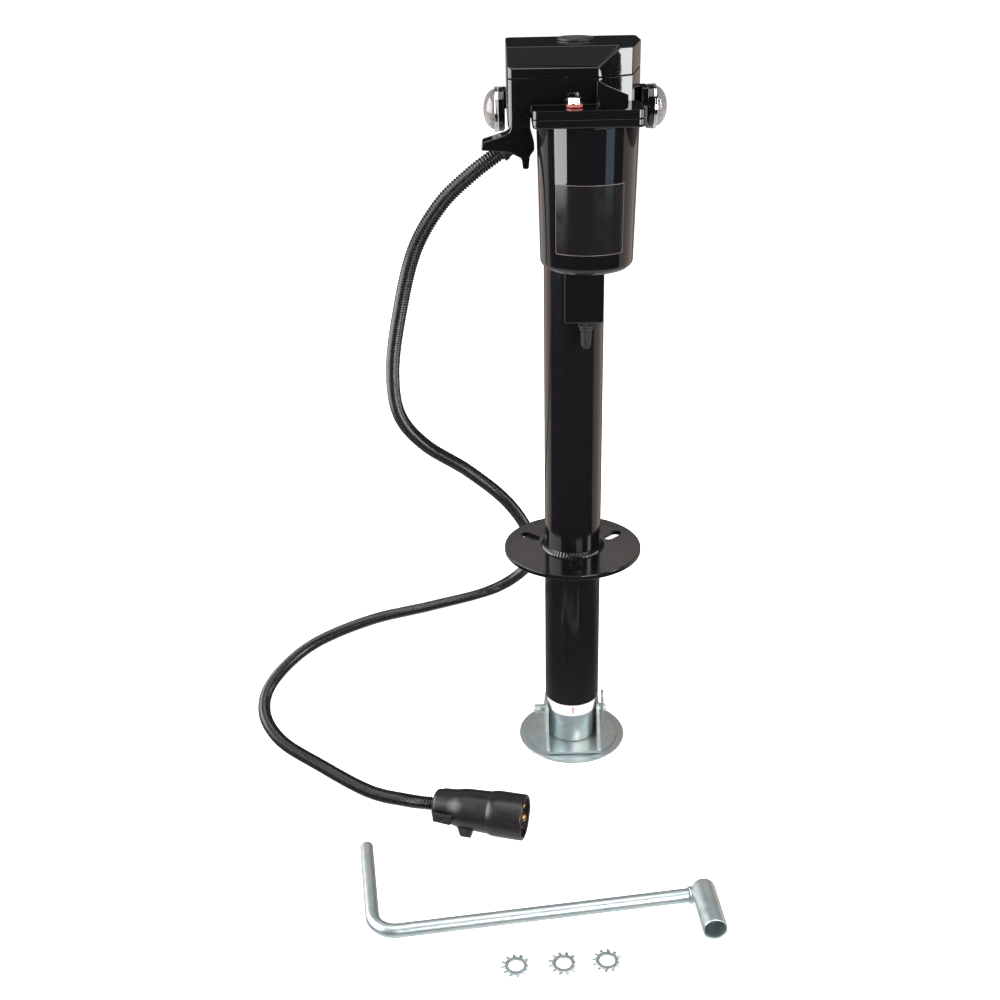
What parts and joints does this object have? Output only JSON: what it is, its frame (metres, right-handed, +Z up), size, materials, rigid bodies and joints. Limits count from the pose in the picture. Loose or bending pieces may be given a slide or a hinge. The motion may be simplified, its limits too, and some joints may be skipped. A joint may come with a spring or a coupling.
{
  "type": "trailer tongue jack",
  "caption": "Electric trailer tongue jack: flanged leg with sliding ram and foot, powered gear head with side lights and switch, loom with round plug, crank handle and washers.",
  "frame": {"origin": "on the floor at the centre of the foot plate's underside, under the leg's axis", "axes": "+Z up the leg's axis to the head, -Y towards the motor, +X to the side away from the loom"},
  "size_m": [0.4745, 0.6596, 0.7282],
  "materials": {
    "gloss_black_plastic": "moulded gloss",
    "sticker_film": "blank printed film",
    "black_paint": "gloss powder coat",
    "black_rubber": "moulded rubber",
    "black_loom": "corrugated split loom",
    "zinc_plate": "bright zinc plate",
    "steel": "machined",
    "brass": "machined",
    "chrome": "polished",
    "clear_lens": "clear moulded lens",
    "white_label": "white vinyl",
    "red_fibre": "sealing washer"
  },
  "bodies": {
    "housing": {"outer_tube": "black_paint", "mounting_flange": "black_paint", "flange_weld": "black_paint", "top_plate": "steel", "thrust_bearing": "steel", "gear_case": "gloss_black_plastic", "head_lid": "gloss_black_plastic", "idler_spindle": "steel", "motor_flange": "gloss_black_plastic", "motor_can": "steel", "motor_cover": "gloss_black_plastic", "cover_sticker": "sticker_film", "switch_box": "gloss_black_plastic", "boot_nut": "black_rubber", "left_light_body": "gloss_black_plastic", "left_light_bezel": "chrome", "left_light_lens": "clear_lens", "left_light_reflector": "chrome", "right_light_body": "gloss_black_plastic", "right_light_bezel": "chrome", "right_light_lens": "clear_lens", "right_light_reflector": "chrome", "ledge_washer": "red_fibre", "ledge_bolt": "chrome", "loom_holder": "gloss_black_plastic", "loom_gland": "black_rubber", "loom_cord": "black_loom", "plug_body": "black_rubber", "plug_face": "black_rubber", "plug_centre_pin": "brass", "plug_blade_1": "brass", "plug_blade_2": "brass", "plug_blade_3": "brass", "plug_blade_4": "brass", "plug_blade_5": "brass", "plug_blade_6": "brass", "plug_key": "black_rubber", "plug_clamp_near": "black_rubber", "plug_clamp_far": "black_rubber", "star_washer_1": "zinc_plate", "star_washer_2": "zinc_plate", "star_washer_3": "zinc_plate"},
    "ram": {"inner_tube": "zinc_plate", "leg_label": "white_label", "lead_nut": "brass", "foot_plate": "zinc_plate", "foot_bracket": "zinc_plate", "foot_pin": "zinc_plate"},
    "clip": {"pin_clip": "zinc_plate"},
    "screw": {"lead_screw": "steel", "screw_gear": "steel"},
    "idler": {"idler_gear": "steel"},
    "motor_rotor": {"motor_pinion": "steel"},
    "switch": {"toggle_lever": "chrome", "switch_boot": "black_rubber"},
    "cap": {"override_cap": "black_rubber"},
    "crank": {"crank_rod": "zinc_plate", "crank_socket": "zinc_plate"}
  },
  "joints": [
    {"name": "ram_slide", "type": "slide", "parent": "housing", "child": "ram", "axis": [0, 0, -1], "range_m": [0, 0.457]},
    {"name": "screw_spin", "type": "hinge", "parent": "housing", "child": "screw", "pos_m": [0, 0, 0.69], "axis": [0, 0, 1], "continuous": true},
    {"name": "idler_spin", "type": "hinge", "parent": "housing", "child": "idler", "pos_m": [-0.01198, -0.04441, 0.685], "axis": [0, 0, 1], "continuous": true},
    {"name": "motor_spin", "type": "hinge", "parent": "housing", "child": "motor_rotor", "pos_m": [0.006, -0.07297, 0.675], "axis": [0, 0, 1], "continuous": true},
    {"name": "switch_toggle", "type": "hinge", "parent": "housing", "child": "switch", "pos_m": [0.0085, -0.04698, 0.486], "axis": [1, 0, 0], "range_deg": [-12, 12], "stiffness_Nm_per_rad": 0.15},
    {"name": "cap_lift", "type": "slide", "parent": "housing", "child": "cap", "axis": [0, 0, 1], "range_m": [0, 0.03]},
    {"name": "clip_pull", "type": "slide", "parent": "ram", "child": "clip", "axis": [0, 0, 1], "range_m": [0, 0.04]},
    {"name": "crank_lift", "type": "slide", "parent": "housing", "child": "crank", "axis": [0, 0, 1], "range_m": [0, 0.2]}
  ],
  "couplings": [
    {"joint": "screw_spin", "follows": "ram_slide", "rad_per_m": 989.48},
    {"joint": "idler_spin", "follows": "ram_slide", "rad_per_m": -2261.7},
    {"joint": "motor_spin", "follows": "ram_slide", "rad_per_m": 9046.7}
  ]
}
